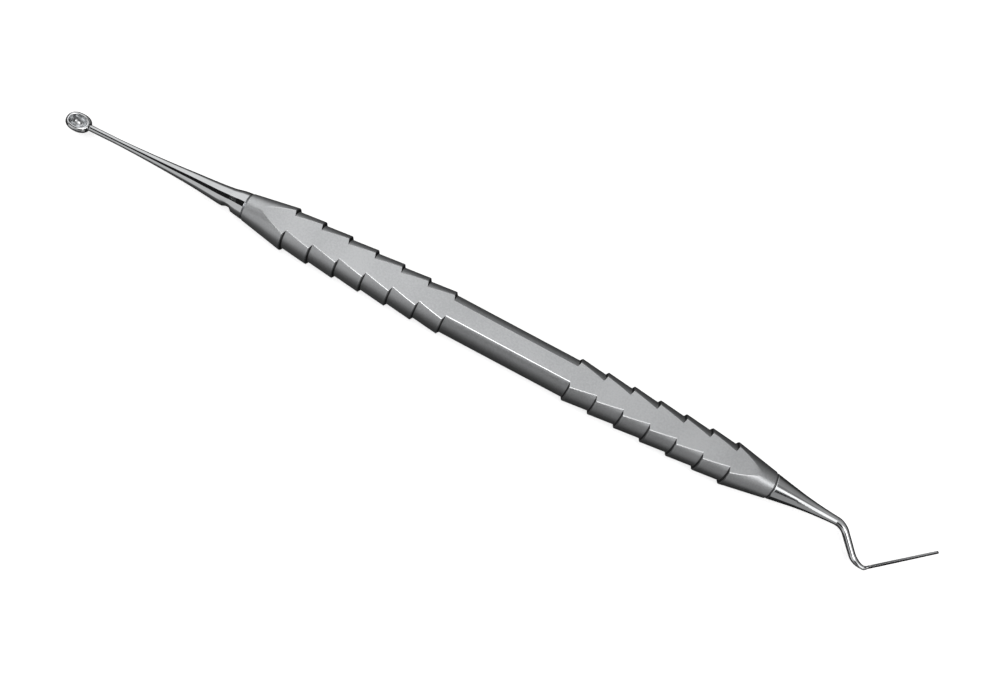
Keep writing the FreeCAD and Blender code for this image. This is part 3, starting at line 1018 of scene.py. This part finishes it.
@dataclass(frozen=True)
class Card:
    """A soft-edged white or black card in the tent of light.

    Its place is given by the two angles at which the instrument sees it: about the handle's
    line, 0 overhead and positive to the front, and along it, positive towards the blade end.
    """

    front: tuple[float, float]
    along: tuple[float, float]
    edge: float
    level: float
    slant: float = 0.0

    def over(self, net: Net, light: Wire, front: Wire, along: Wire) -> Wire:
        """Lays the card over the light that is there.

        Each of the two masks is a soft step of half the card's width less the distance from
        its middle. A slanted card's front angles shift in line with the angle along.

        Args:
            net: node tree of the world.
            light: level of light without the card.
            front: angle about the handle's line, in degrees.
            along: angle along it, in degrees.

        Returns:
            Level of light with the card.
        """
        masks = []
        if self.slant:
            front = front - (along - sum(self.along) / 2) * self.slant
        for angle, (low, high) in ((front, self.front), (along, self.along)):
            inside = (high - low) / 2 - abs(angle - (low + high) / 2)
            masks.append(net.smooth_step(inside, -self.edge, self.edge))
        return light + (self.level - light) * (masks[0] * masks[1])


@dataclass
class Studio:
    """Pale floor, soft tent of light and the camera at the photograph's angle."""

    floor_size: float = 12.0
    floor_tone: float = 0.95
    floor_glow: float = 0.64
    dome: tuple[tuple[float, float], ...] = (
        (-180, 0.02), (-128, 0.02), (-108, 0.06), (-93, 0.11), (-84, 0.28), (-75, 0.4), (-56, 0.66),
        (-30, 0.86), (20, 0.83), (44, 0.5), (70, 0.34), (86, 0.2), (98, 0.12), (112, 0.06),
        (135, 0.035), (180, 0.03),
    )
    dome_tilt: float = 0.018
    tilt_reach: tuple[float, float] = (-35.0, 45.0)
    cards: tuple[Card, ...] = (
        Card(front=(-74, -28), along=(-18, 24), edge=4.0, level=0.15),
        Card(front=(-2, 27), along=(-14, 9), edge=4.0, level=3.0),
        Card(front=(33, 66), along=(-7, 22), edge=4.0, level=0.02),
        Card(front=(-20, -4), along=(30, 56), edge=3.0, level=0.22),
        Card(front=(4, 62), along=(21, 56), edge=3.0, level=1.35),
        Card(front=(-2, 30), along=(40, 48), edge=2.0, level=5.0),
        Card(front=(56.6, 90), along=(18, 39), edge=3.0, level=0.32, slant=-3.6),
        Card(front=(58, 116), along=(25, 56), edge=3.0, level=0.32),
        Card(front=(33, 54), along=(33.5, 38), edge=2.0, level=0.02, slant=-3.6),
        Card(front=(29, 56), along=(38, 56), edge=2.0, level=0.02),
        Card(front=(-79, -11), along=(-75, -16), edge=4.0, level=0.86),
        Card(front=(-10, 39), along=(-75, -17), edge=2.0, level=0.01),
        Card(front=(42, 94), along=(-75, -22), edge=3.0, level=0.6),
        Card(front=(-60, 34), along=(-48, -42), edge=2.0, level=3.0),
        Card(front=(-180, 180), along=(-100, -47), edge=4.0, level=0.03),
        Card(front=(-180, 180), along=(47, 100), edge=4.0, level=0.02),
    )
    focal_length: float = 38.0
    clip_start: float = 0.01
    distance: float = 0.181
    tilt: float = np.radians(18.0)
    roll: float = np.radians(28.03)
    aim: tuple[float, float, float] = (-1.914, 0.71, 3.2)

    def floor(self) -> None:
        """Pale floor on which the instrument lies, hidden from mirror rays."""
        half = self.floor_size / 2
        mesh = bpy.data.meshes.new("floor")
        corners = [(-half, -half, 0), (half, -half, 0), (half, half, 0), (-half, half, 0)]
        mesh.from_pydata(corners, [], [(0, 1, 2, 3)])
        made = bpy.data.objects.new("floor", mesh)
        bpy.context.scene.collection.objects.link(made)
        paint = bpy.data.materials.new("pale_floor")
        paint.use_nodes = True
        paint.node_tree.nodes.clear()
        net = Net(paint.node_tree)
        tone = (self.floor_tone, self.floor_tone, self.floor_tone, 1.0)
        surface = net.add(
            "ShaderNodeBsdfPrincipled",
            None,
            {
                "Base Color": tone,
                "Roughness": 1.0,
                "Specular IOR Level": 0.0,
                "Emission Color": tone,
                "Emission Strength": self.floor_glow,
            },
        )
        net.add("ShaderNodeOutputMaterial", None, {"Surface": surface})
        mesh.materials.append(paint)
        made.visible_glossy = False

    def tent(self) -> None:
        """Soft light from all round above, brighter on the spoon's side, with white and black cards.

        With (x, y, z) the direction, the angle about the handle's line is that of (z, -y) and
        the angle along it is the arc sine of x. A ramp over the first gives the dome's light,
        which falls in a straight line over the second, and each card is laid over what is there.
        """
        world = bpy.data.worlds.new("tent")
        bpy.context.scene.world = world
        world.use_nodes = True
        world.node_tree.nodes.clear()
        net = Net(world.node_tree)
        toward = net.add("ShaderNodeTexCoord", output="Generated")
        east, north, up = (
            net.add("ShaderNodeSeparateXYZ", None, {"Vector": toward}, output=axis) for axis in "XYZ"
        )
        front = (0.0 - north).turned_from(up) * DEGREES
        along = east.arc_sine() * DEGREES
        stops = [(place / FULL_TURN + 0.5, level) for place, level in self.dome]
        dome = net.add("ShaderNodeValToRGB", {"stops": stops}, {"Fac": front * (1 / FULL_TURN) + 0.5})
        low, high = self.tilt_reach
        held = net.add("ShaderNodeClamp", None, {"Value": along, "Min": low, "Max": high})
        light = dome * (1.0 - held * self.dome_tilt)
        for card in self.cards:
            light = card.over(net, light, front, along)
        surface = net.add("ShaderNodeBackground", None, {"Color": (1.0, 1.0, 1.0, 1.0), "Strength": light})
        net.add("ShaderNodeOutputWorld", None, {"Surface": surface})

    def camera(self) -> None:
        """Camera that looks down on the instrument, rolled so that it runs down to the right."""
        back = np.array([0.0, -np.sin(self.tilt), np.cos(self.tilt)])
        down = np.array([0.0, -np.cos(self.tilt), -np.sin(self.tilt)])
        east = np.array([1.0, 0.0, 0.0])
        right = np.cos(self.roll) * east - np.sin(self.roll) * down
        up = -np.sin(self.roll) * east - np.cos(self.roll) * down
        along, below, height = self.aim
        target = np.array([along, 0.0, height]) + below * down
        place = target * MM + back * self.distance
        matrix = Matrix.Identity(4)
        for column, axis in enumerate((right, up, back, place)):
            for line in range(3):
                matrix[line][column] = axis[line]
        lens = bpy.data.cameras.new("camera")
        lens.lens = self.focal_length
        lens.clip_start = self.clip_start
        made = bpy.data.objects.new("camera", lens)
        bpy.context.scene.collection.objects.link(made)
        made.matrix_world = matrix
        bpy.context.scene.camera = made


def main() -> None:
    """Builds the three pieces and the studio."""
    logging.basicConfig(level=logging.INFO, format="%(name)s: %(message)s")
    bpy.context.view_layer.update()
    low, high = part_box("handle")
    half_length = (high[0] - low[0]) / 2 / MM
    axis_height = (high[2] + low[2]) / 2 / MM
    Handle("handle", SATIN_BLASTED, axis_height, half_length=half_length).build()
    SpoonEnd("spoon_end", MIRROR_POLISHED, axis_height, half_length=half_length).build()
    BladeEnd("blade_end", MIRROR_POLISHED, axis_height, half_length=half_length).build()
    studio = Studio()
    studio.floor()
    studio.tent()
    studio.camera()
    scene = bpy.context.scene
    scene.view_settings.view_transform = "Standard"


if __name__ == "__main__":
    main()
